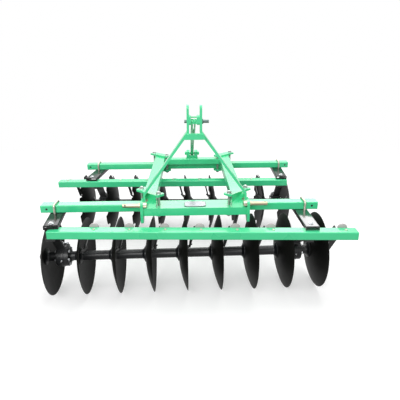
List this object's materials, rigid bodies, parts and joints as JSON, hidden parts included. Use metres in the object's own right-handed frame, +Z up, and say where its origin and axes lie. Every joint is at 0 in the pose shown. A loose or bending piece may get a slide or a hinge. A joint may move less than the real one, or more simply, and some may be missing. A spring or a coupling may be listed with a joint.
{
  "type": "disc harrow",
  "caption": "Three-point mounted offset disc harrow: plain discs on the front gang, notched discs on the rear one, tube frame with clamped members, hitch mast and scrapers",
  "frame": {"origin": "centre of the bounding box on the ground under the discs", "axes": "+X to the right in the picture, along the beams; +Y rearward, away from the tractor; +Z up"},
  "size_m": [1.8901, 1.439, 1.117],
  "materials": {
    "green_paint": "gloss mint-green paint",
    "black_paint": "satin black paint",
    "disc_black": "satin black paint on hardened steel",
    "yellow_zinc": "yellow-passivated zinc plate",
    "zinc": "bright zinc plate"
  },
  "bodies": {
    "root": {"front_beam": "green_paint", "rear_beam": "green_paint", "hitch_box": "green_paint", "rear_cross_tube": "green_paint", "side_member_left": "green_paint", "side_member_right": "green_paint", "front_clamps": "green_paint", "rear_clamps": "green_paint", "clamp_bolts": "zinc", "ear_left": "green_paint", "ear_right": "green_paint", "lower_pin_left": "yellow_zinc", "lower_pin_right": "yellow_zinc", "mast_leg_left": "green_paint", "mast_leg_right": "green_paint", "mast_cross_plate": "green_paint", "mast_lugs": "green_paint", "top_pin": "zinc", "mast_brace": "green_paint", "brace_bracket": "green_paint", "front_gang_beam": "green_paint", "rear_gang_beam": "green_paint", "arm_front_left": "black_paint", "arm_front_right": "black_paint", "arm_rear_left": "black_paint", "arm_rear_right": "black_paint", "u_bolts": "zinc", "hanger_front_left": "black_paint", "hanger_front_right": "black_paint", "hanger_rear_left": "black_paint", "hanger_rear_right": "black_paint", "bearing_front_left": "black_paint", "bearing_front_right": "black_paint", "bearing_rear_left": "black_paint", "bearing_rear_right": "black_paint", "front_scrapers": "black_paint", "rear_scrapers": "black_paint"},
    "front_gang": {"front_axle": "disc_black", "front_discs": "disc_black", "front_spools": "disc_black"},
    "rear_gang": {"rear_axle": "disc_black", "rear_discs": "disc_black", "rear_spools": "disc_black"}
  },
  "joints": [
    {"name": "front_gang_spin", "type": "hinge", "parent": "root", "child": "front_gang", "pos_m": [0.027, -0.433, 0.23], "axis": [0.9997, 0.0262, 0], "continuous": true},
    {"name": "rear_gang_spin", "type": "hinge", "parent": "root", "child": "rear_gang", "pos_m": [0.0045, 0.47, 0.23], "axis": [0.9997, -0.0262, 0], "continuous": true}
  ]
}
